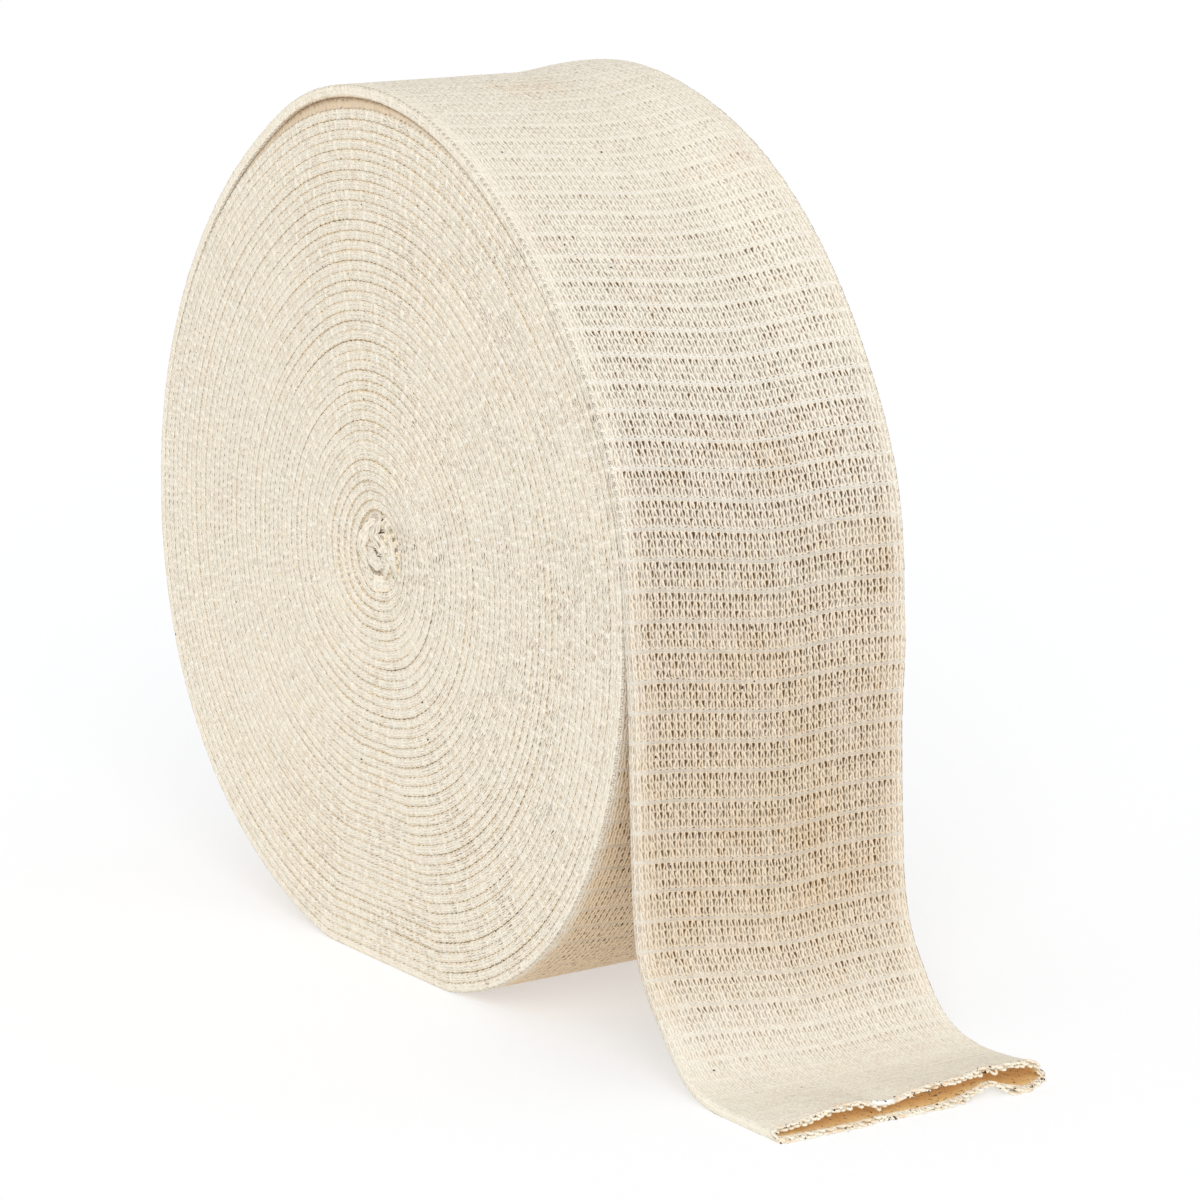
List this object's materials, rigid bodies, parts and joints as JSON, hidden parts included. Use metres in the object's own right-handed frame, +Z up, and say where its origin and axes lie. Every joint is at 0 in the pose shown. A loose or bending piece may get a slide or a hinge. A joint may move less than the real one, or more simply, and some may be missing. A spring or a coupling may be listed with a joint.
{
  "type": "tubular bandage roll",
  "caption": "Roll of flat-pressed elasticated tubular bandage, standing on its edge, with its free end let down in front and the tube's mouth open.",
  "frame": {"origin": "on the surface, at the roll's flat spot, under its axis and at the middle of its width", "axes": "+Z up, the roll's axis along Y, the free end towards +X"},
  "size_m": [0.1867, 0.0518, 0.1467],
  "materials": {
    "roll_cloth": "undyed knitted cotton with white elastic courses, turns on edge",
    "end_cloth": "undyed knitted cotton with white elastic courses"
  },
  "bodies": {
    "root": {"wound_roll": "roll_cloth", "loose_end": "end_cloth"}
  },
  "joints": []
}
